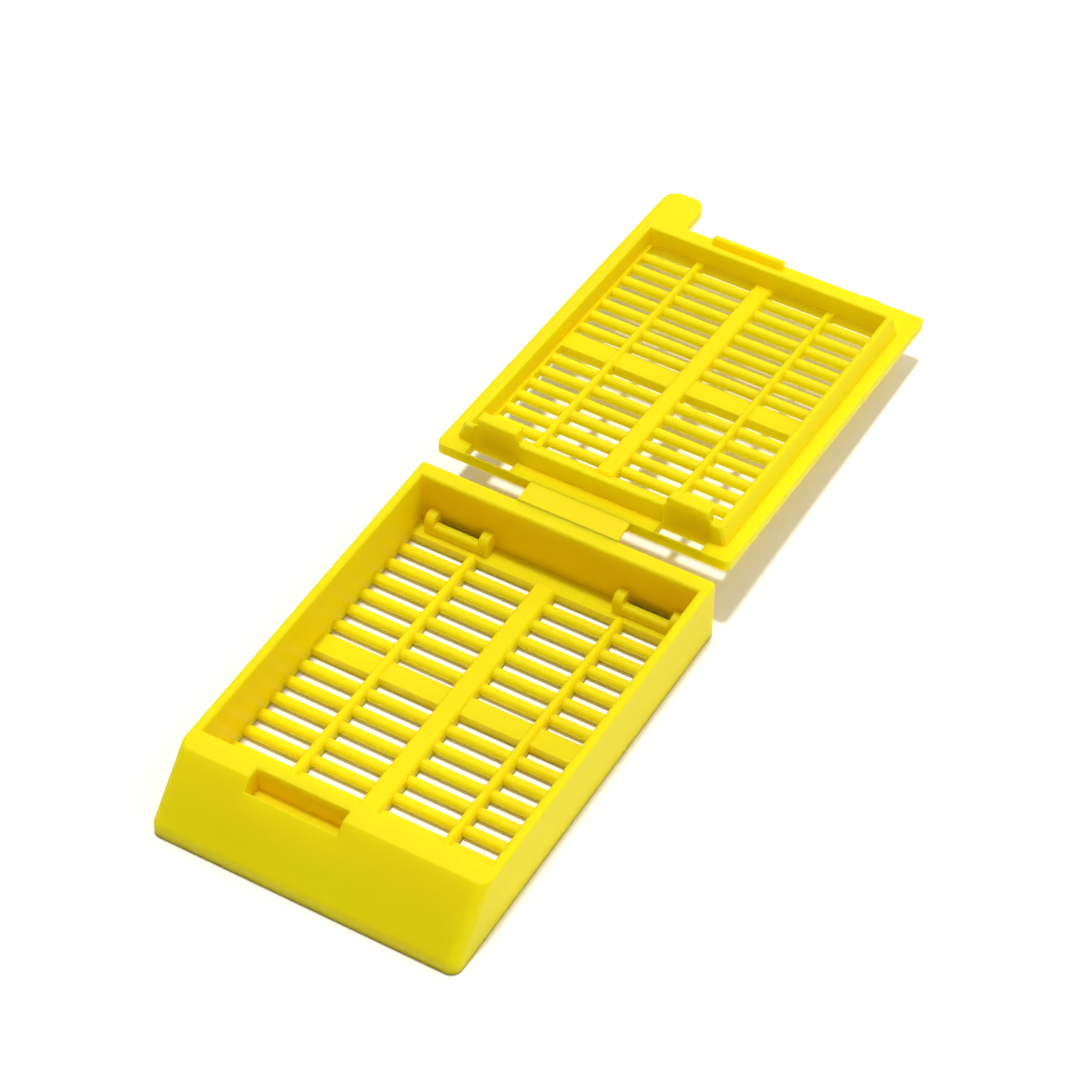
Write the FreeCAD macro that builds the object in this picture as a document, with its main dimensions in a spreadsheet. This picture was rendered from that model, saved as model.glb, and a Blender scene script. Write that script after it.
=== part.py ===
import FreeCAD, Part
import math
import os
import re

import Sketcher

# Tissue cassette: a shallow perforated tray and its perforated lid, moulded in one piece with a thin web.
# It stands open, as it leaves the mould, with the lid sagging a little on its web.
# Origin: centre of the tray's underside. +X to the right seen from the writing face, +Y to the lid, +Z up.

doc = FreeCAD.newDocument("TissueCassette")
sheet = doc.addObject("Spreadsheet::Sheet", "Sizes")
working = doc.addObject("Spreadsheet::Sheet", "Working")

# Driving sizes in millimetres, the sag in degrees.
drivingSizes = [
    # tray
    ("trayWidth", 28.5, "outside, over the side walls"),
    ("trayLength", 41.8, "outside, from the back wall to the foot of the writing face"),
    ("trayHeight", 6.25, "underside to rim"),
    ("faceRun", 4.62, "how far the writing face slopes forward"),
    ("footHeight", 1.2, "upright foot under the writing face"),
    ("cornerRound", 1.0, "corners beside the writing face, in plan"),
    ("backCornerRound", 0.35, "corners of the back wall, in plan"),
    ("footRound", 1.0, "edge between the writing face and its foot"),
    ("sideWall", 0.87, "thickness"),
    ("backWall", 1.6, "thickness"),
    ("frontLand", 2.23, "flat rim between the chamber and the writing face"),
    ("floorThickness", 1.05, "perforated floor"),
    ("edgeRound", 0.3, "edges of the rim"),
    ("skin", 1.0, "wall round the hollow under the writing face"),
    ("hollowHeight", 2.8, "height of that hollow"),
    # perforations of the tray
    ("trayPitch", 2.08, "row to row"),
    ("trayBand", 1.1, "extra width of the plain band between the fields"),
    ("trayEndBand", 1.9, "least plain floor at the chamber's ends"),
    ("traySlot", 1.08, "width of a slot"),
    ("traySpine", 1.96, "ridge down the middle"),
    ("trayRib", 0.84, "ridge between two columns"),
    ("barThickness", 0.7, "bars between the slots"),
    ("barSink", 0.02, "crown of a bar below the plain surface"),
    ("trayCrown", 0.28, "how far the top of a tray bar is rounded over"),
    ("ribRise", 0.3, "how far the ridges stand above the floor"),
    ("ribOverrun", 0.3, "how far the ridges run past the outermost slots"),
    ("ribInset", 0.05, "the ridges' sides, in from the ends of the slots"),
    # seat of the lid's hooks, at the foot of the back wall
    ("hookCentre", 9.25, "from the middle plane to the middle of a hook"),
    ("hookLength", 3.85, "along the back wall"),
    ("hookSideGap", 0.3, "free space at each end of a hook"),
    ("kerbReach", 1.45, "from the back wall to the front of the kerb"),
    ("kerbWidth", 0.75, "thickness of the kerb"),
    ("kerbRound", 0.35, "front edge of the kerb"),
    ("postWidth", 0.9, "posts at the kerb's ends"),
    ("postRound", 0.75, "front edge of the posts"),
    ("kerbHeight", 1.05, "above the floor"),
    ("postHeight", 1.85, "posts, above the floor"),
    ("seatOpeningGap", 0.13, "from a post to the opening behind the kerb"),
    ("seatOpeningHeight", 1.4, "how far that opening reaches up into the wall"),
    ("seatSkin", 0.4, "wall left outside that opening"),
    # latch pocket in the top of the writing face
    ("latchLeft", 7.4, "left end, from the middle plane"),
    ("latchRight", 1.25, "right end, from the middle plane"),
    ("latchBack", 1.08, "how far it goes back from the top of the writing face"),
    ("latchFront", 0.74, "how far it goes forward from there"),
    ("latchDepth", 2.45, "below the rim"),
    ("latchRound", 0.12, "edges of its mouth"),
    # web and hinge line
    ("webWidth", 9.74, "along the hinge line"),
    ("webSpan", 2.166, "from the tray's back wall to the lid's edge"),
    ("webEnd", 0.7, "thickness at both roots"),
    ("webThin", 0.3, "thickness at the crease"),
    ("hingeOffset", 1.0, "hinge line behind the back wall"),
    ("hingeRise", 0.18, "hinge line above the rim"),
    ("lidDroop", 3.117, "degrees that the open lid sags"),
    ("closeGap", 0.05, "between rim and closed lid"),
    # lid
    ("lidOverhang", 0.76, "plate of the closed lid, beyond the top of the writing face"),
    ("lidThickness", 1.05, "plate"),
    ("lidNearRound", 0.6, "corners beside the hinge, in plan"),
    ("lidFarRound", 0.3, "far right corner, in plan"),
    ("rimGap", 0.1, "between the chamber's ends and the closed lid's rim"),
    ("rimSideGap", 0.28, "between the chamber's sides and that rim"),
    ("rimHeight", 1.87, "above the plate"),
    ("rimThickness", 0.6, "the rim's ends"),
    ("rimSideThickness", 1.1, "the rim's sides, at the plate"),
    ("rimLean", 0.6, "how far the sides' outer faces lean in on their way up"),
    ("rimCorner", 0.25, "bevel of the rim's outer corners, in plan"),
    ("rimRound", 0.2, "top edges of the rim"),
    ("lidPitch", 1.964, "row to row"),
    ("lidBand", 1.157, "extra width of the plain band between the fields"),
    ("lidSlot", 0.94, "width of a slot"),
    ("lidFirstRow", 4.83, "from the hinge side to the middle of the nearest row"),
    ("lidSpine", 1.75, "ridge down the middle"),
    ("lidRib", 0.7, "ridge between two columns"),
    ("lidSlotLength", 5.43, "slots beside the spine"),
    ("lidSlotEnd", 0.38, "from the outermost slots to the rim"),
    ("lidCrown", 0.35, "how far the top of a lid bar is rounded over"),
    ("lidRidgeEnd", 0.5, "how far the ridges stop short of the last slot's far edge"),
    # hooks on the hinge side
    ("hookHeight", 2.95, "above the plate"),
    ("hookStem", 0.95, "thickness of the stem"),
    ("hookRound", 0.22, "top edges of the hooks"),
    ("hookLip", 0.3, "overhang towards the hinge side"),
    ("lipHeight", 0.7, "depth of the lip's nose"),
    ("coreLength", 4.45, "opening in the plate under a lip, along the hinge line"),
    ("coreStart", 0.15, "that opening, from the hinge side"),
    # latch tongue and finger tab
    ("tongueGapLeft", 0.4, "to the left end of the latch pocket"),
    ("tongueGapRight", 1.05, "to the right end of the latch pocket"),
    ("tongueGapFront", 0.15, "to the front wall of the latch pocket"),
    ("tongueThickness", 0.6, "wall of the tongue"),
    ("tongueHeight", 0.85, "above the plate"),
    ("tongueRound", 0.2, "top edges of the tongue"),
    ("tabReach", 4.6, "beyond the plate's far edge"),
    ("tabRoot", 3.95, "width at the plate"),
    ("tabTip", 3.85, "width at the end"),
    ("tabRound", 1.4, "corners of the end"),
    ("tabFillet", 0.8, "inside corner beside the plate"),
    ("tabCrease", 1.07, "from the plate's far edge to the crease"),
    ("tabSlope", 0.12, "how far the top falls from the crease to the end"),
    ("gateMark", 1.35, "width of the raised mark on the far edge"),
    ("gateCentre", 9.0, "middle of that mark, from the middle plane"),
    ("gateRise", 0.15, "how far it stands out"),
    ("gateRoot", 0.3, "how far it reaches into the plate"),
    # shared by several features
    ("barSeat", 0.25, "how far a bar's ends run into the plain floor"),
    ("ridgeEndShare", 0.8, "rounding of a ridge's ends, as a share of half its width"),
    ("ridgeTopShare", 0.6, "bevel of a ridge's top, as a share of its rise or half its width"),
    ("overcut", 1.0, "how far a cutting profile runs past what it cuts"),
]
aliases = {name for name, value, note in drivingSizes}

for row, (name, value, note) in enumerate(drivingSizes, start=1):
    sheet.set(f"A{row}", name)
    sheet.set(f"B{row}", str(value))
    sheet.set(f"C{row}", note)
    sheet.setAlias(f"B{row}", name)
doc.recompute()

# Places that follow from the sizes, as formulas.
backFace = "(trayLength / 2)"
frontFace = "(-trayLength / 2)"
faceTop = "(-trayLength / 2 + faceRun)"
chamberBack = "(trayLength / 2 - backWall)"
chamberFront = "(-trayLength / 2 + faceRun + frontLand)"
chamberMiddle = f"(({chamberBack} + {chamberFront}) / 2)"
chamberSide = "(trayWidth / 2 - sideWall)"
sag = "(lidDroop * 1 deg)"
hingeToLid = "(webSpan - hingeOffset)"
# The lid's hinge-side edge stands this far above the hinge line, so that it closes flat on the rim.
edgeRise = f"((hingeRise - closeGap - sin({sag}) * {hingeToLid}) / cos({sag}))"
# The closed lid's hinge-side edge lies this far inside the tray's back face.
closedInset = f"(cos({sag}) * {hingeToLid} - sin({sag}) * {edgeRise} - hingeOffset)"
rimNear = f"(backWall + rimGap - {closedInset})"
rimFar = f"(trayLength - faceRun - frontLand - rimGap - {closedInset})"
rimSide = f"({chamberSide} - rimSideGap)"
lidLength = f"(trayLength - faceRun + lidOverhang - {closedInset})"
# As many rows as there is room for, in two fields with a plain band between them.
firstRow = "((trayPitch + trayBand) / 2)"
fieldRoom = f"(({chamberBack} - {chamberFront}) / 2 - trayEndBand - {firstRow} - traySlot / 2)"
trayRows = f"(floor({fieldRoom} / trayPitch) + 1)"
lidRoom = f"({rimFar} - rimThickness - lidFirstRow - lidSlot / 2 - lidBand)"
lidRows = f"(floor({lidRoom} / lidPitch) + 1)"
nearRows = f"floor({lidRows} / 2)"
farRows = f"({lidRows} - {nearRows})"


def sized(formula):
    """The formula with each size's name turned into a reference to the sheet."""
    return re.sub(r"[A-Za-z]\w*", lambda word: "Sizes." + word[0] if word[0] in aliases else word[0], formula)


def present(formula):
    """What the formula comes to at the present sizes."""
    working.set("A1", "=" + sized(formula))
    working.recompute()
    return float(working.get("A1"))


def originPart(body, role):
    """One of the body's own origin planes or axes."""
    return next(part for part in body.Origin.OriginFeatures if part.Role == role)


def newBody(label):
    body = doc.addObject("PartDesign::Body", label)
    body.Label = label
    return body


def newSketch(body, name, plane="XY_Plane", height="0"):
    """An empty sketch on one of the body's planes, raised along the plane's normal."""
    sketch = body.newObject("Sketcher::SketchObject", name)
    sketch.AttachmentSupport = (originPart(body, plane), [""])
    sketch.MapMode = "FlatFace"
    sketch.setExpression("AttachmentOffset.Base.z", sized(height))
    return sketch


def placePoint(sketch, geometry, point, place):
    """Tie a point of the sketch to its two formulas, measured from the sketch's origin."""
    for kind, formula in zip(("DistanceX", "DistanceY"), place):
        number = sketch.addConstraint(Sketcher.Constraint(kind, -1, 1, geometry, point, present(formula)))
        sketch.setExpression(f"Constraints[{number}]", sized(formula))


def outline(sketch, corners):
    """A closed outline of straight lines through corners given as pairs of formulas."""
    first = sketch.GeometryCount
    count = len(corners)
    start = [FreeCAD.Vector(present(across), present(up), 0) for across, up in corners]
    for i in range(count):
        sketch.addGeometry(Part.LineSegment(start[i], start[(i + 1) % count]))
    for i in range(count):
        sketch.addConstraint(Sketcher.Constraint("Coincident", first + i, 2, first + (i + 1) % count, 1))
    for i, corner in enumerate(corners):
        placePoint(sketch, first + i, 1, corner)


def rectangle(sketch, left, right, low, high):
    outline(sketch, [(left, low), (right, low), (right, high), (left, high)])


def circle(sketch, place, radius):
    middle = FreeCAD.Vector(present(place[0]), present(place[1]), 0)
    number = sketch.addGeometry(Part.Circle(middle, FreeCAD.Vector(0, 0, 1), present(radius)))
    placePoint(sketch, number, 3, place)
    constraint = sketch.addConstraint(Sketcher.Constraint("Radius", number, present(radius)))
    sketch.setExpression(f"Constraints[{constraint}]", sized(radius))


def bothSides(draw):
    """Draw something on the right of the middle plane and again, mirrored, on the left."""
    for side in ("", "-"):
        draw(side)


def extrude(body, kind, sketch, name, length, symmetric=False, reverse=False):
    """Pad or pocket a sketch. A feature that leaves the volume as it was has gone the wrong way."""
    before = body.Tip.Shape.Volume if body.Tip else 0.0
    feature = body.newObject("PartDesign::" + kind, name)
    feature.Profile = sketch
    feature.setExpression("Length", sized(length))
    feature.SideType = "Symmetric" if symmetric else "One side"
    feature.Reversed = reverse
    body.Tip = feature
    doc.recompute()
    gained = feature.Shape.Volume - before
    if gained * (1 if kind == "Pad" else -1) < 1e-3:
        raise RuntimeError(f"{name} changes nothing")
    return feature


def repeatRows(body, feature, name, rows, pitch, reverse=False):
    """Repeat a feature along Y."""
    pattern = body.newObject("PartDesign::LinearPattern", name)
    pattern.Originals = [feature]
    pattern.Direction = (originPart(body, "Y_Axis"), [""])
    pattern.Reversed = reverse
    pattern.setExpression("Occurrences", sized(rows))
    pattern.setExpression("Length", sized(f"{pitch} * ({rows} - 1)"))
    body.Tip = pattern
    doc.recompute()
    return pattern


def dressEdges(body, kind, name, size, wanted):
    """Fillet or chamfer the edges of the body's last feature that the test picks."""
    base = body.Tip
    picked = [f"Edge{i + 1}" for i, edge in enumerate(base.Shape.Edges) if wanted(edge)]
    feature = body.newObject("PartDesign::" + kind, name)
    feature.Base = (base, picked)
    feature.setExpression("Radius" if kind == "Fillet" else "Size", sized(size))
    body.Tip = feature
    doc.recompute()
    return feature


def roundEdges(body, name, radius, wanted):
    return dressEdges(body, "Fillet", name, radius, wanted)


def bevelEdges(body, name, size, wanted):
    return dressEdges(body, "Chamfer", name, size, wanted)


def near(a, b):
    return abs(a - b) < 1e-6


def isUpright(edge):
    first, last = edge.Vertexes[0].Point, edge.Vertexes[-1].Point
    return math.hypot(first.x - last.x, first.y - last.y) < 1e-6


def liesAt(edge, height):
    return near(edge.BoundBox.ZMin, height) and near(edge.BoundBox.ZMax, height)


def spans(edge, low, high):
    """Whether the edge climbs from one height to the other."""
    return near(edge.BoundBox.ZMin, low) and near(edge.BoundBox.ZMax, high)


def columns(sketch, spine, rib, length, outerEnd, low, high):
    """Four windows abreast: two each side of the spine, with a rib between them."""
    inner = f"({spine} / 2)"
    split = f"({inner} + {length})"

    def draw(side):
        rectangle(sketch, f"{side}{inner}", f"{side}{split}", low, high)
        rectangle(sketch, f"{side}({split} + {rib})", f"{side}{outerEnd}", low, high)

    bothSides(draw)


def barSection(sketch, middle, width, top, crown):
    """Section of a bar: upright sides under an arc whose height is the crown."""
    left, right = f"({middle} - {width} / 2)", f"({middle} + {width} / 2)"
    low, shoulder = f"({top} - barThickness)", f"({top} - {crown})"
    radius = f"(({width} * {width} / 4 + {crown} * {crown}) / (2 * {crown}))"
    centre = (middle, f"({top} - {radius})")
    corners = [(right, shoulder), (right, low), (left, low), (left, shoulder)]
    places = [FreeCAD.Vector(present(across), present(up), 0) for across, up in corners]
    crest = FreeCAD.Vector(present(middle), present(top), 0)
    arc = sketch.addGeometry(Part.Arc(places[0], crest, places[3]))
    for first, last in zip(places, places[1:]):
        sketch.addGeometry(Part.LineSegment(first, last))
    for line, end, other, otherEnd in ((0, 1, 1, 1), (1, 2, 2, 1), (2, 2, 3, 1), (3, 2, 0, 2)):
        sketch.addConstraint(Sketcher.Constraint("Coincident", arc + line, end, arc + other, otherEnd))
    placePoint(sketch, arc, 3, centre)
    placePoint(sketch, arc, 1, corners[0])
    placePoint(sketch, arc + 2, 1, corners[1])
    placePoint(sketch, arc + 2, 2, corners[2])
    number = sketch.addConstraint(Sketcher.Constraint("DistanceX", -1, 1, arc, 2, present(left)))
    sketch.setExpression(f"Constraints[{number}]", sized(left))


def slotField(body, name, size, top, outerEnd, first, rows, forward):
    """A field of slots: windows cut through the plate, then crowned bars laid across them."""
    sign = "-" if forward else "+"
    slot, pitch = size["slot"], size["pitch"]
    windows = newSketch(body, name + "WindowOutline", height=top)
    columns(windows, size["spine"], size["rib"], size["length"], outerEnd,
            f"{first} {sign} (-{slot} / 2)", f"{first} {sign} (({rows} - 1) * {pitch} + {slot} / 2)")
    extrude(body, "Pocket", windows, name + "Windows", size["depth"])
    bar = newSketch(body, name + "BarSection", "YZ_Plane")
    middle = f"({first} {sign} {pitch} / 2)"
    barSection(bar, middle, f"({pitch} - {slot})", f"({top} - barSink)", size["crown"])
    pad = extrude(body, "Pad", bar, name + "Bar", f"2 * ({outerEnd} + barSeat)", symmetric=True)
    repeatRows(body, pad, name + "Bars", f"({rows} - 1)", pitch, reverse=forward)


def ridges(body, name, size, top, low, high):
    """Ridges over the spine and over the ribs beside it, with rounded ends and bevelled tops."""
    spineHalf = f"({size['spine']} / 2 - ribInset)"
    ribInner = f"({size['spine']} / 2 + {size['length']} + ribInset)"
    ribOuter = f"({size['spine']} / 2 + {size['length']} + {size['rib']} - ribInset)"
    sketch = newSketch(body, name + "Outline", height=top)
    rectangle(sketch, f"-{spineHalf}", spineHalf, low, high)
    bothSides(lambda side: rectangle(sketch, f"{side}{ribInner}", f"{side}{ribOuter}", low, high))
    extrude(body, "Pad", sketch, name, "ribRise")
    base = present(top)
    crest = base + present("ribRise")
    ends = (present(low), present(high))
    halfWidth = f"({size['rib']} / 2 - ribInset)"
    roundEdges(body, name + "Ends", f"{halfWidth} * ridgeEndShare",
               lambda edge: spans(edge, base, crest) and any(near(edge.BoundBox.YMin, end) for end in ends))
    bevelEdges(body, name + "Tops", f"min(ribRise; {halfWidth}) * ridgeTopShare",
               lambda edge: liesAt(edge, crest))


# ---- tray ----
tray = newBody("tray")

sideProfile = newSketch(tray, "SideProfile", "YZ_Plane")
outline(sideProfile, [
    (backFace, "0"), (backFace, "trayHeight"), (faceTop, "trayHeight"),
    (frontFace, "footHeight"), (frontFace, "0"),
])
extrude(tray, "Pad", sideProfile, "TrayBlock", "trayWidth", symmetric=True)

halfTrayNow = present("trayWidth / 2")
trayRimNow = present("trayHeight")
frontNow = present(frontFace)


def isFootEdge(edge):
    box = edge.BoundBox
    return near(box.YMin, frontNow) and liesAt(edge, present("footHeight")) and box.XLength > halfTrayNow


def isSideEdge(edge):
    """Upright and sloping edges of the tray's two sides."""
    box = edge.BoundBox
    return box.XLength < 1e-6 and near(abs(box.XMin), halfTrayNow) and box.ZLength > 1e-3


roundEdges(tray, "FootEdge", "footRound", isFootEdge)
roundEdges(tray, "FrontCorners", "cornerRound", lambda edge: isSideEdge(edge) and edge.BoundBox.YMax < 0)
roundEdges(tray, "BackCorners", "backCornerRound", lambda edge: isSideEdge(edge) and edge.BoundBox.YMin > 0)
roundEdges(tray, "OuterRimEdge", "edgeRound", lambda edge: liesAt(edge, trayRimNow))

chamber = newSketch(tray, "ChamberOutline", height="trayHeight")
rectangle(chamber, f"-{chamberSide}", chamberSide, chamberFront, chamberBack)
extrude(tray, "Pocket", chamber, "Chamber", "trayHeight - floorThickness")
chamberNow = [present(chamberSide), present(chamberFront), present(chamberBack)]


def isInnerRim(edge):
    box = edge.BoundBox
    side, front, back = chamberNow
    insideX = max(-box.XMin, box.XMax) < side + 1e-6
    return liesAt(edge, trayRimNow) and insideX and box.YMin > front - 1e-6 and box.YMax < back + 1e-6


roundEdges(tray, "InnerRimEdge", "edgeRound", isInnerRim)

traySlots = {
    "slot": "traySlot", "pitch": "trayPitch", "spine": "traySpine", "rib": "trayRib",
    "length": f"(({chamberSide} - traySpine / 2 - trayRib) / 2)",
    "crown": "trayCrown", "depth": "floorThickness",
}
for name, sign, forward in (("Back", "+", False), ("Front", "-", True)):
    slotField(tray, name, traySlots, "floorThickness", chamberSide,
              f"({chamberMiddle} {sign} {firstRow})", trayRows, forward)
ridgeHalf = f"({firstRow} + ({trayRows} - 1) * trayPitch + traySlot / 2 + ribOverrun)"
ridges(tray, "Ridges", traySlots, "floorThickness",
       f"({chamberMiddle} - {ridgeHalf})", f"({chamberMiddle} + {ridgeHalf})")

# Seats for the lid's hooks: a low kerb between two taller posts, and an opening in the floor behind it.
seatInner = "(hookCentre - hookLength / 2 - hookSideGap)"
seatOuter = "(hookCentre + hookLength / 2 + hookSideGap)"
kerbFront = f"({chamberBack} - kerbReach)"
kerb = newSketch(tray, "KerbOutline", height="floorThickness")
bothSides(lambda side: rectangle(
    kerb, f"{side}({seatInner} - postWidth / 2)", f"{side}({seatOuter} + postWidth / 2)",
    kerbFront, f"{kerbFront} + kerbWidth"))
extrude(tray, "Pad", kerb, "Kerbs", "kerbHeight")
kerbFrontNow = present(kerbFront)


def isFrontEdge(edge, height):
    """Top front edge of a kerb or post of this height above the floor."""
    box = edge.BoundBox
    top = present(f"floorThickness + {height}")
    return liesAt(edge, top) and near(box.YMin, kerbFrontNow) and near(box.YMax, kerbFrontNow)


roundEdges(tray, "KerbEdges", "kerbRound", lambda edge: isFrontEdge(edge, "kerbHeight"))
posts = newSketch(tray, "PostOutline", height="floorThickness")
for inner, outer in ((f"({seatInner} - postWidth)", seatInner), (seatOuter, f"({seatOuter} + postWidth)")):
    bothSides(lambda side: rectangle(posts, f"{side}{inner}", f"{side}{outer}", kerbFront, chamberBack))
extrude(tray, "Pad", posts, "Posts", "postHeight")
roundEdges(tray, "PostEdges", "postRound", lambda edge: isFrontEdge(edge, "postHeight"))
seatOpening = newSketch(tray, "SeatOpeningOutline")
bothSides(lambda side: rectangle(
    seatOpening, f"{side}({seatInner} + seatOpeningGap)", f"{side}({seatOuter} - seatOpeningGap)",
    f"{kerbFront} + kerbWidth", f"{backFace} - seatSkin"))
extrude(tray, "Pocket", seatOpening, "SeatOpenings", "seatOpeningHeight", reverse=True)

latch = newSketch(tray, "LatchOutline", height="trayHeight")
rectangle(latch, "-latchLeft", "latchRight", f"{faceTop} - latchFront", f"{faceTop} + latchBack")
extrude(tray, "Pocket", latch, "LatchPocket", "latchDepth")
latchNow = [present(place) for place in (
    "-latchLeft", "latchRight", f"{faceTop} - latchFront", f"{faceTop} + latchBack",
    "trayHeight - latchDepth / 2")]


def isLatchMouth(edge):
    box = edge.BoundBox
    left, right, front, back, low = latchNow
    insideX = box.XMin > left - 1e-6 and box.XMax < right + 1e-6
    insideY = box.YMin > front - 1e-6 and box.YMax < back + 1e-6
    return insideX and insideY and box.ZMin > low


roundEdges(tray, "LatchMouth", "latchRound", isLatchMouth)

hollow = newSketch(tray, "HollowProfile", "YZ_Plane")
# The hollow's sloping side stays one skin behind the writing face.
faceSlope = "((trayHeight - footHeight) / faceRun)"
skinShift = f"(skin * sqrt(1 + pow({faceSlope}; 2)) / {faceSlope})"
hollowTopFront = f"({frontFace} + {skinShift} + (hollowHeight - footHeight) / {faceSlope})"
outline(hollow, [
    (f"{chamberFront} - skin", "0"), (f"{chamberFront} - skin", "hollowHeight"),
    (hollowTopFront, "hollowHeight"), (f"{frontFace} + {skinShift}", "footHeight"),
    (f"{frontFace} + {skinShift}", "0"),
])
extrude(tray, "Pocket", hollow, "FrontHollow", "trayWidth - 2 * sideWall", symmetric=True)

webRoot = newSketch(tray, "WebRootProfile", "YZ_Plane")
rectangle(webRoot, f"{backFace} - edgeRound", backFace, "trayHeight - edgeRound", "trayHeight")
extrude(tray, "Pad", webRoot, "WebRoot", "webWidth", symmetric=True)

# ---- lid, drawn flat with its hinge-side top edge on X and the inner face up ----
lid = newBody("lid")

plate = newSketch(lid, "PlateOutline")
outline(plate, [
    ("-trayWidth / 2", "0"), ("trayWidth / 2", "0"), ("trayWidth / 2", lidLength),
    ("-trayWidth / 2 + tabRoot", lidLength), ("-trayWidth / 2 + tabTip", f"{lidLength} + tabReach"),
    ("-trayWidth / 2", f"{lidLength} + tabReach"),
])
extrude(lid, "Pad", plate, "Plate", "lidThickness", reverse=True)
lidLengthNow = present(lidLength)
tabRootNow = present("-trayWidth / 2 + tabRoot")
tabEndNow = present(f"{lidLength} + tabReach")


def isFarCorner(edge):
    box = edge.BoundBox
    return isUpright(edge) and near(box.XMin, halfTrayNow) and near(box.YMin, lidLengthNow)


def isTabRoot(edge):
    box = edge.BoundBox
    return isUpright(edge) and near(box.XMin, tabRootNow) and near(box.YMin, lidLengthNow)


roundEdges(lid, "NearCorners", "lidNearRound", lambda edge: isUpright(edge) and near(edge.BoundBox.YMin, 0))
roundEdges(lid, "FarCorner", "lidFarRound", isFarCorner)
roundEdges(lid, "TabRoot", "tabFillet", isTabRoot)
roundEdges(lid, "TabCorners", "tabRound",
           lambda edge: isUpright(edge) and near(edge.BoundBox.YMin, tabEndNow))
tabSlope = newSketch(lid, "TabSlopeProfile", "YZ_Plane")
outline(tabSlope, [
    (f"{lidLength} + tabCrease", "0"), (f"{lidLength} + tabReach + overcut", "0"),
    (f"{lidLength} + tabReach + overcut", "-tabSlope"), (f"{lidLength} + tabReach", "-tabSlope"),
])
extrude(lid, "Pocket", tabSlope, "TabSlope", "trayWidth + overcut", symmetric=True)

lidRimNow = present("rimHeight")
rim = newSketch(lid, "RimOutline")
rectangle(rim, f"-{rimSide}", rimSide, rimNear, rimFar)
extrude(lid, "Pad", rim, "RimBlock", "rimHeight")
lean = newSketch(lid, "RimLeanProfile", "XZ_Plane")
leanTop = f"({rimSide} - rimLean / rimHeight * (rimHeight + overcut))"
bothSides(lambda side: outline(lean, [
    (f"{side}{rimSide}", "0"), (f"{side}({rimSide} + overcut)", "0"),
    (f"{side}({rimSide} + overcut)", "rimHeight + overcut"), (f"{side}{leanTop}", "rimHeight + overcut")]))
extrude(lid, "Pocket", lean, "RimLean", f"2 * ({rimFar} + overcut)", symmetric=True)
bevelEdges(lid, "RimCorners", "rimCorner",
           lambda edge: spans(edge, 0, lidRimNow) and edge.BoundBox.YLength < 1e-6)
rimInner = f"({rimSide} - rimSideThickness)"
rimHollow = newSketch(lid, "RimHollowOutline", height="rimHeight")
rectangle(rimHollow, f"-{rimInner}", rimInner, f"{rimNear} + rimThickness", f"{rimFar} - rimThickness")
extrude(lid, "Pocket", rimHollow, "RimHollow", "rimHeight")
roundEdges(lid, "RimTops", "rimRound", lambda edge: liesAt(edge, lidRimNow))

outerEnd = f"({rimInner} - lidSlotEnd)"
lidSlots = {
    "slot": "lidSlot", "pitch": "lidPitch", "spine": "lidSpine", "rib": "lidRib",
    "length": "lidSlotLength", "crown": "lidCrown", "depth": "lidThickness",
}
farField = f"(lidFirstRow + lidPitch * {nearRows} + lidBand)"
slotField(lid, "Near", lidSlots, "0", outerEnd, "lidFirstRow", nearRows, False)
slotField(lid, "Far", lidSlots, "0", outerEnd, farField, farRows, False)
ridges(lid, "Ridges", lidSlots, "0", "(lidFirstRow - lidSlot / 2 - ribOverrun)",
       f"({farField} + ({farRows} - 1) * lidPitch + lidSlot / 2 - lidRidgeEnd)")

stemNear = f"({rimNear} + hookLip)"
core = newSketch(lid, "CoreOutline", height="rimHeight")
bothSides(lambda side: rectangle(
    core, f"{side}(hookCentre - coreLength / 2)", f"{side}(hookCentre + coreLength / 2)",
    "coreStart", stemNear))
extrude(lid, "Pocket", core, "CoreOpenings", "rimHeight + lidThickness")
hookInner = "(hookCentre - hookLength / 2)"
hookOuter = "(hookCentre + hookLength / 2)"
stem = newSketch(lid, "StemOutline")
bothSides(lambda side: rectangle(
    stem, f"{side}{hookInner}", f"{side}{hookOuter}", stemNear, f"{stemNear} + hookStem"))
extrude(lid, "Pad", stem, "HookStems", "hookHeight")
lip = newSketch(lid, "LipOutline", height="hookHeight")
bothSides(lambda side: rectangle(
    lip, f"{side}{hookInner}", f"{side}{hookOuter}", rimNear, f"{stemNear} + hookStem / 2"))
extrude(lid, "Pad", lip, "HookLips", "lipHeight", reverse=True)
roundEdges(lid, "HookTops", "hookRound", lambda edge: liesAt(edge, present("hookHeight")))

tongue = newSketch(lid, "TongueOutline")
tongueFar = f"(trayLength - faceRun + latchFront - tongueGapFront - {closedInset})"
rectangle(tongue, "-latchLeft + tongueGapLeft", "latchRight - tongueGapRight",
          f"{tongueFar} - tongueThickness", tongueFar)
extrude(lid, "Pad", tongue, "Tongue", "tongueHeight")
roundEdges(lid, "TongueTop", "tongueRound", lambda edge: liesAt(edge, present("tongueHeight")))

gate = newSketch(lid, "GateMarkOutline")
rectangle(gate, "gateCentre - gateMark / 2", "gateCentre + gateMark / 2",
          f"{lidLength} - gateRoot", f"{lidLength} + gateRise")
extrude(lid, "Pad", gate, "GateMark", "lidThickness", reverse=True)

lid.Placement = FreeCAD.Placement(FreeCAD.Vector(), FreeCAD.Rotation(FreeCAD.Vector(-1, 0, 0), 3))
lid.setExpression("Placement.Rotation.Angle", sized(sag))
lid.setExpression("Placement.Base.y", sized(f"{backFace} + webSpan"))
lid.setExpression("Placement.Base.z", sized(f"trayHeight + hingeRise + {edgeRise}"))

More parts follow.
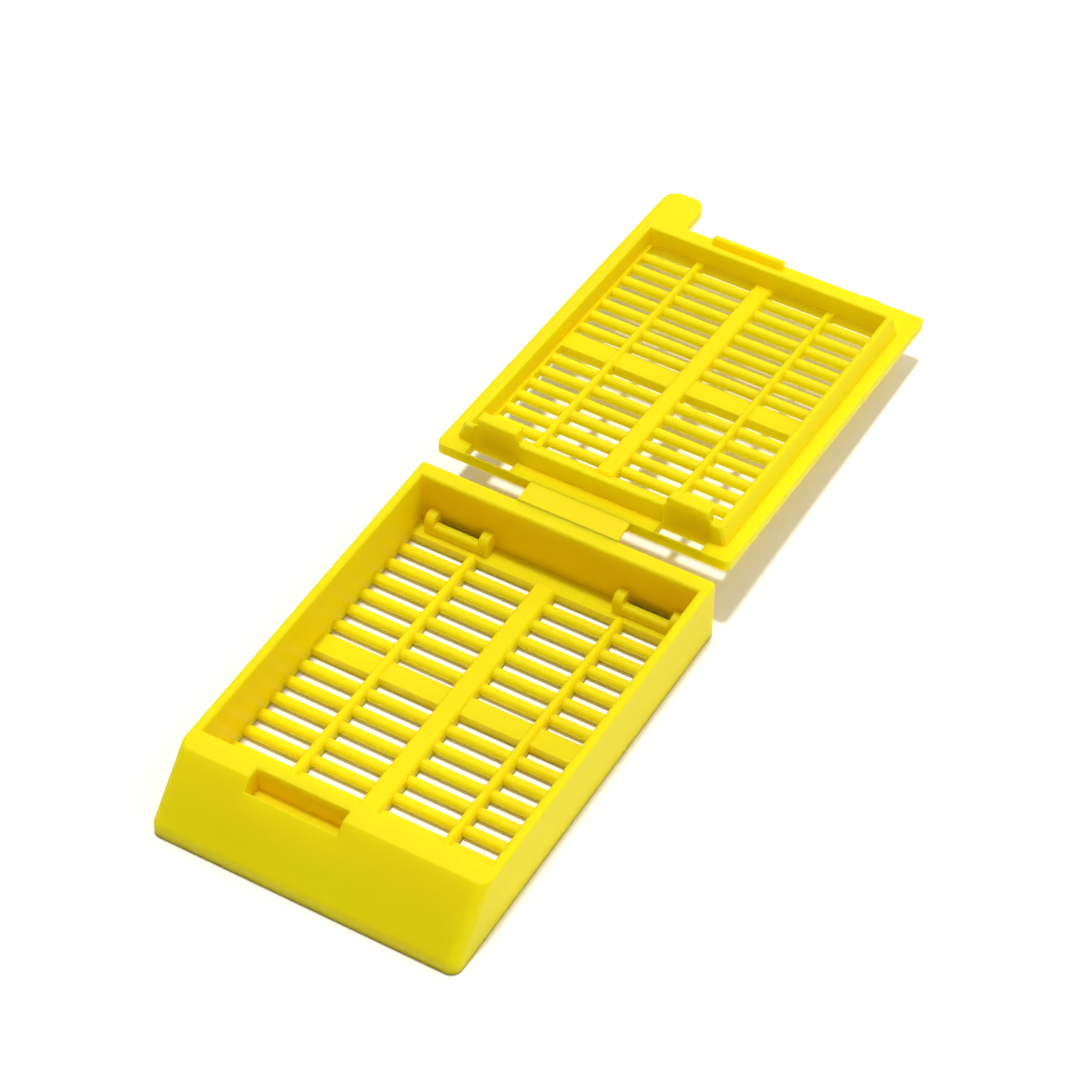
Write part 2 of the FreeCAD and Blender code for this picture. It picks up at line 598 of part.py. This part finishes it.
# ---- web: flush with the rim and with the lid's inner face, thinned from below along the crease ----
web = newBody("web")
webProfile = newSketch(web, "WebProfile", "YZ_Plane")
lidEdgeY = f"({backFace} + webSpan)"
lidEdgeZ = f"(trayHeight + hingeRise + {edgeRise})"


def alongLidEdge(depth):
    """A point on the lid's sagging end face, this far below its top edge."""
    return (f"{lidEdgeY} - {depth} * sin({sag})", f"{lidEdgeZ} - {depth} * cos({sag})")


outline(webProfile, [
    (backFace, "trayHeight - webEnd"), alongLidEdge("webEnd"), (lidEdgeY, lidEdgeZ), (backFace, "trayHeight"),
])
extrude(web, "Pad", webProfile, "WebBlock", "webWidth", symmetric=True)
crease = newSketch(web, "CreaseProfile", "YZ_Plane")
creaseY = f"({backFace} + hingeOffset)"
creaseTop = f"((trayHeight + {lidEdgeZ}) / 2)"
circle(crease, (creaseY, f"{creaseTop} - webThin - webSpan / 3"), "webSpan / 3")
extrude(web, "Pocket", crease, "Crease", "webWidth", symmetric=True)

# ---- check and export ----
doc.recompute()
for item in doc.Objects:
    if "Invalid" in item.State or "Error" in item.State:
        raise RuntimeError(f"{item.Name} failed: {item.State}")

os.makedirs("parts", exist_ok=True)
for body in (tray, lid, web):
    if body.Shape.isNull() or not body.Shape.isValid():
        raise RuntimeError(f"{body.Label} has no valid shape")
    body.Shape.exportStep(f"parts/{body.Label}.step")
    box = body.Shape.BoundBox
    print(f"{body.Label}: {len(body.Shape.Solids)} solid, {body.Shape.Volume:.1f} mm3, "
          f"X {box.XMin:.2f} to {box.XMax:.2f}, Y {box.YMin:.2f} to {box.YMax:.2f}, "
          f"Z {box.ZMin:.2f} to {box.ZMax:.2f}")
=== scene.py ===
import math

import bpy
import numpy as np
from mathutils import Matrix, Vector


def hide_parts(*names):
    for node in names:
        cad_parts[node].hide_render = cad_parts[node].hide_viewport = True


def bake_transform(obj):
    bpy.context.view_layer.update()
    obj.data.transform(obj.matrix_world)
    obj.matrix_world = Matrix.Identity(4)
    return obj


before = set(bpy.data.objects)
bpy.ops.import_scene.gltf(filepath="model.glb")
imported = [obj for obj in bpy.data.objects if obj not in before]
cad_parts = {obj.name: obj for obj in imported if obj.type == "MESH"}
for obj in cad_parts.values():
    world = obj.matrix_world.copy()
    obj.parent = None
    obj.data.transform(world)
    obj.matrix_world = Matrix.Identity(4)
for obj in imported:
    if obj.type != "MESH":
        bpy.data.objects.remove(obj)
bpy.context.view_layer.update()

mm = 0.001  # one millimetre, in Blender's metres


def setSockets(node, values):
    for name, value in values.items():
        node.inputs[name].default_value = value


def addNode(tree, kind, place, **settings):
    node = tree.nodes.new(kind)
    node.location = place
    for name, value in settings.items():
        setattr(node, name, value)
    return node


def connect(tree, *wires):
    for source, output, target, entry in wires:
        tree.links.new(source.outputs[output], target.inputs[entry])


def addObject(name, data):
    item = bpy.data.objects.new(name, data)
    bpy.context.collection.objects.link(item)
    return item


cameraSetup = dict(
    azimuth=29.746, elevation=45.845, roll=0.585,  # degrees
    distance=296.367 * mm, target=(-3.790 * mm, 22.940 * mm, 0.0),
    lens=114.58, sensor=36.0,  # in millimetres, as Blender takes them
    nearest=10 * mm,  # nothing closer to the lens is drawn
)


def makeCamera(setup):
    azimuth, elevation, roll = (math.radians(setup[name]) for name in ("azimuth", "elevation", "roll"))
    back = Vector((math.sin(azimuth) * math.cos(elevation),
                   -math.cos(azimuth) * math.cos(elevation), math.sin(elevation)))
    right = (-back).cross(Vector((0, 0, 1))).normalized()
    up = right.cross(-back)
    turn = Matrix((right, up, back)).transposed().to_4x4() @ Matrix.Rotation(roll, 4, "Z")
    data = bpy.data.cameras.new("camera")
    data.lens = setup["lens"]
    data.sensor_width = setup["sensor"]
    data.clip_start = setup["nearest"]
    camera = addObject("camera", data)
    middle = Vector(setup["target"]) + back * setup["distance"]
    camera.matrix_world = Matrix.Translation(middle) @ turn
    bpy.context.scene.camera = camera


makeCamera(cameraSetup)
bpy.context.scene.view_settings.view_transform = "Standard"
print("camera placed")

plastic = dict(
    colour=(0.985, 0.760, 0.0010, 1), deepColour=(0.970, 0.730, 0.0005, 1),
    toneSize=90.0, grainSize=2600.0,  # noise cells to a metre: drift between those colours, and grain
    sheen=0.45, sheenSpread=0.10,  # roughness, and how far it wanders
    shine=0.14, bending=1.48,  # strength of the surface reflection, and the index of refraction
    grainDepth=0.004 * mm, grainStrength=0.25,
    glow=0.90, glowDepth=1.7 * mm,  # share of the light that spreads inside, and how far it goes
    glowTint=(1.0, 0.95, 0.03),  # share of that way which each colour goes
)
webPlastic = plastic | dict(glow=0.45, glowDepth=0.7 * mm)  # a thin strip spreads less
pattern = dict(
    clouds={"Detail": 4.0, "Roughness": 0.55}, grain={"Detail": 2.0, "Roughness": 0.6},
    tones={"From Min": 0.35, "From Max": 0.65},  # clouds that are all deep colour, and all main colour
    noiseMiddle=0.5,
)
mixFirst, mixSecond, mixResult = 6, 7, 2  # the colour sockets of a Mix node


def mouldedSurface(setup):
    group = bpy.data.node_groups.new("moulded_surface", "ShaderNodeTree")
    wanted = {"Main Colour": "Color", "Deep Colour": "Color", "Tone Size": "Float",
              "Grain Size": "Float", "Gloss": "Float", "Gloss Spread": "Float"}
    returned = {"Colour": "Color", "Roughness": "Float", "Height": "Float"}
    for direction, sockets in (("INPUT", wanted), ("OUTPUT", returned)):
        for name, kind in sockets.items():
            group.interface.new_socket(name, in_out=direction, socket_type="NodeSocket" + kind)
    given = addNode(group, "NodeGroupInput", (-1200, 0))
    result = addNode(group, "NodeGroupOutput", (500, 0))
    place = addNode(group, "ShaderNodeTexCoord", (-1200, -400))
    clouds = addNode(group, "ShaderNodeTexNoise", (-800, 200))
    grain = addNode(group, "ShaderNodeTexNoise", (-800, -200))
    tone = addNode(group, "ShaderNodeMapRange", (-500, 250))
    colour = addNode(group, "ShaderNodeMix", (-200, 250), data_type="RGBA")
    wander = addNode(group, "ShaderNodeMath", (-500, -50), operation="SUBTRACT")
    gloss = addNode(group, "ShaderNodeMath", (-200, -50), operation="MULTIPLY_ADD")
    setSockets(clouds, setup["clouds"])
    setSockets(grain, setup["grain"])
    setSockets(tone, setup["tones"])
    setSockets(wander, {1: setup["noiseMiddle"]})
    connect(group,
            (place, "Object", clouds, "Vector"), (place, "Object", grain, "Vector"),
            (given, "Tone Size", clouds, "Scale"), (given, "Grain Size", grain, "Scale"),
            (clouds, "Fac", tone, "Value"), (tone, "Result", colour, "Factor"),
            (given, "Deep Colour", colour, mixFirst), (given, "Main Colour", colour, mixSecond),
            (clouds, "Fac", wander, 0), (wander, "Value", gloss, 0),
            (given, "Gloss Spread", gloss, 1), (given, "Gloss", gloss, 2),
            (colour, mixResult, result, "Colour"), (gloss, "Value", result, "Roughness"),
            (grain, "Fac", result, "Height"))
    return group


def moulded(name, group, setup):
    material = bpy.data.materials.new(name)
    material.use_nodes = True
    tree = material.node_tree
    shader = tree.nodes["Principled BSDF"]
    surface = addNode(tree, "ShaderNodeGroup", (-700, 100), node_tree=group)
    bump = addNode(tree, "ShaderNodeBump", (-350, -200))
    setSockets(shader, {"IOR": setup["bending"], "Specular IOR Level": setup["shine"],
                        "Subsurface Weight": setup["glow"], "Subsurface Radius": setup["glowTint"],
                        "Subsurface Scale": setup["glowDepth"]})
    setSockets(surface, {"Main Colour": setup["colour"], "Deep Colour": setup["deepColour"],
                         "Tone Size": setup["toneSize"], "Grain Size": setup["grainSize"],
                         "Gloss": setup["sheen"], "Gloss Spread": setup["sheenSpread"]})
    setSockets(bump, {"Strength": setup["grainStrength"], "Distance": setup["grainDepth"]})
    connect(tree,
            (surface, "Colour", shader, "Base Color"), (surface, "Roughness", shader, "Roughness"),
            (surface, "Height", bump, "Height"), (bump, "Normal", shader, "Normal"))
    return material


surfaceGroup = mouldedSurface(pattern)
yellow = moulded("moulded_yellow", surfaceGroup, plastic)
webYellow = moulded("web_yellow", surfaceGroup, webPlastic)
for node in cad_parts.values():
    node.data.materials.clear()
    node.data.materials.append(yellow)
print("plastic ready")

webForm = dict(
    width=9.74,  # along the hinge line
    span=(20.9, 23.066), top=(6.25, 6.497),  # from the tray's wall to the lid's edge, and the height there
    end=0.70, thin=0.30,  # thickness at both ends and in the groove
    grooveMiddle=21.885, grooveHalf=0.645,
    overlap=0.02, lift=0.0005,  # how far the strip laps over tray and lid, and how far above them
    sideRound=0.12,  # its long edges
    stations=48, sideSteps=10, acrossSteps=32,  # points along it, round an edge and across
)


def webOutline(form):
    # A rectangle with rounded corners, once round. Each point is x, the share of the thickness
    # that it stands on (1 at the top, 0 below), and its shift up from there.
    edge = form["sideRound"]
    inner = form["width"] / 2 - edge
    turn = np.linspace(0, np.pi / 2, form["sideSteps"])
    out, up = edge * np.sin(turn), edge * np.cos(turn)  # a quarter circle, from the top to the side
    across = np.linspace(-1, 1, form["acrossSteps"])[1:-1] * inner
    one, zero = np.ones(across.size), np.zeros(across.size)
    right = np.array([np.r_[inner + out, inner + out[::-1]],
                      np.r_[np.ones(turn.size), np.zeros(turn.size)],
                      np.r_[up - edge, edge - up[::-1]]])
    left = right[:, ::-1] * np.array([[-1], [1], [1]])
    return np.hstack([np.array([across, one, zero]), right, np.array([across[::-1], zero, zero]), left])


def webPoints(form):
    # The outline goes from the tray's wall to the lid's edge, hung under a straight top line:
    # thickness(y) = end - (end - thin) * sqrt(max(0, 1 - ((y - middle) / half)^2)).
    (near, far), (nearTop, farTop) = form["span"], form["top"]
    y = np.linspace(near - form["overlap"], far + form["overlap"], form["stations"])[:, None]
    top = nearTop + (farTop - nearTop) / (far - near) * (y - near) + form["lift"]
    groove = np.sqrt(np.clip(1 - ((y - form["grooveMiddle"]) / form["grooveHalf"]) ** 2, 0, None))
    thickness = form["end"] - (form["end"] - form["thin"]) * groove
    x, share, shift = webOutline(form)
    z = top - thickness + thickness * share + shift
    return np.stack(np.broadcast_arrays(x, y, z), axis=-1) * mm


def tubeFaces(rows, count):
    # Quads between neighbouring rows of points, and one face over each open end.
    row, column = np.meshgrid(np.arange(rows - 1), np.arange(count), indexing="ij")
    beside = (column + 1) % count
    sides = np.stack([row * count + column, row * count + beside,
                      (row + 1) * count + beside, (row + 1) * count + column], axis=-1)
    around = np.arange(count)
    ends = [around[::-1].tolist(), (around + (rows - 1) * count).tolist()]
    return sides.reshape(-1, 4).tolist(), ends


def makeWeb(form, material):
    points = webPoints(form)
    sides, ends = tubeFaces(*points.shape[:2])
    mesh = bpy.data.meshes.new("web_strip")
    mesh.from_pydata(points.reshape(-1, 3).tolist(), [], sides + ends)
    smooth = np.r_[np.ones(len(sides), bool), np.zeros(len(ends), bool)]
    mesh.polygons.foreach_set("use_smooth", smooth)
    mesh.materials.append(material)
    mesh.update()
    strip = addObject("web_strip", mesh)
    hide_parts("web")
    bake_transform(strip)


makeWeb(webForm, webYellow)
print("web made")

studio = dict(
    floorSize=40.0, floorColour=(1.0, 1.0, 1.0, 1), floorRoughness=0.9, floorShine=0.0,  # size in metres
    keyDirection=(-0.063, 0.135, 1.0), keyStrength=1.93, keySpread=6.0,  # to the light, its width in degrees
    panels=(  # soft lights all round: middle, strength, tightness
        ((0.0, 0.6, 0.8), 0.85, 3.0),
        ((0.9, 0.1, 0.45), 0.78, 3.0),
        ((-0.3, -0.6, 0.75), 0.10, 2.0)),
    roomColour=(1.0, 1.0, 1.0, 1), roomStrength=0.03,  # light from everywhere
    backdropColour=(1.0, 1.0, 1.0, 1), backdropStrength=1.0,  # seen behind, and in gloss and through glass
)


def makeFloor(setup):
    half = setup["floorSize"] / 2
    corners = [(-half, -half, 0), (half, -half, 0), (half, half, 0), (-half, half, 0)]
    mesh = bpy.data.meshes.new("floor")
    mesh.from_pydata(corners, [], [(0, 1, 2, 3)])
    floor = addObject("floor", mesh)
    material = bpy.data.materials.new("floor_white")
    material.use_nodes = True
    setSockets(material.node_tree.nodes["Principled BSDF"], {
        "Base Color": setup["floorColour"], "Roughness": setup["floorRoughness"],
        "Specular IOR Level": setup["floorShine"]})
    mesh.materials.append(material)


def makeKey(setup):
    data = bpy.data.lights.new("key", "SUN")
    data.energy = setup["keyStrength"]
    data.angle = math.radians(setup["keySpread"])
    key = addObject("key", data)
    key.rotation_euler = Vector(setup["keyDirection"]).to_track_quat("Z", "Y").to_euler()


def makeRoom(setup):
    world = bpy.data.worlds.new("studio")
    bpy.context.scene.world = world
    world.use_nodes = True
    tree = world.node_tree
    room = tree.nodes["Background"]
    setSockets(room, {"Color": setup["roomColour"]})
    sky = addNode(tree, "ShaderNodeTexCoord", (-1200, 0))
    total = None
    for row, (middle, strength, tightness) in enumerate(setup["panels"]):
        # Each panel adds strength * max(0, cosine of the angle to its middle) ** tightness.
        cosine = addNode(tree, "ShaderNodeVectorMath", (-900, -250 * row), operation="DOT_PRODUCT")
        front, power, added = (
            addNode(tree, "ShaderNodeMath", (place, -250 * row), operation=operation)
            for place, operation in ((-700, "MAXIMUM"), (-500, "POWER"), (-300, "MULTIPLY_ADD")))
        setSockets(cosine, {1: Vector(middle).normalized()})
        setSockets(front, {1: 0.0})
        setSockets(power, {1: tightness})
        setSockets(added, {1: strength, 2: setup["roomStrength"]})
        connect(tree, (sky, "Generated", cosine, 0), (cosine, "Value", front, 0),
                (front, "Value", power, 0), (power, "Value", added, 0))
        if total:
            connect(tree, (total, "Value", added, 2))
        total = added
    backdrop = addNode(tree, "ShaderNodeBackground", (-100, -300))
    setSockets(backdrop, {"Color": setup["backdropColour"], "Strength": setup["backdropStrength"]})
    ray = addNode(tree, "ShaderNodeLightPath", (-500, 400))
    mirrored, seen = (addNode(tree, "ShaderNodeMath", (place, 400), operation="MAXIMUM")
                      for place in (-300, -100))
    chosen = addNode(tree, "ShaderNodeMixShader", (150, 0))
    connect(tree,
            (total, "Value", room, "Strength"),
            (ray, "Is Glossy Ray", mirrored, 0), (ray, "Is Transmission Ray", mirrored, 1),
            (ray, "Is Camera Ray", seen, 0), (mirrored, "Value", seen, 1),
            (seen, "Value", chosen, "Fac"), (room, "Background", chosen, 1),
            (backdrop, "Background", chosen, 2),
            (chosen, "Shader", tree.nodes["World Output"], "Surface"))


makeFloor(studio)
makeKey(studio)
makeRoom(studio)
print("studio lit")
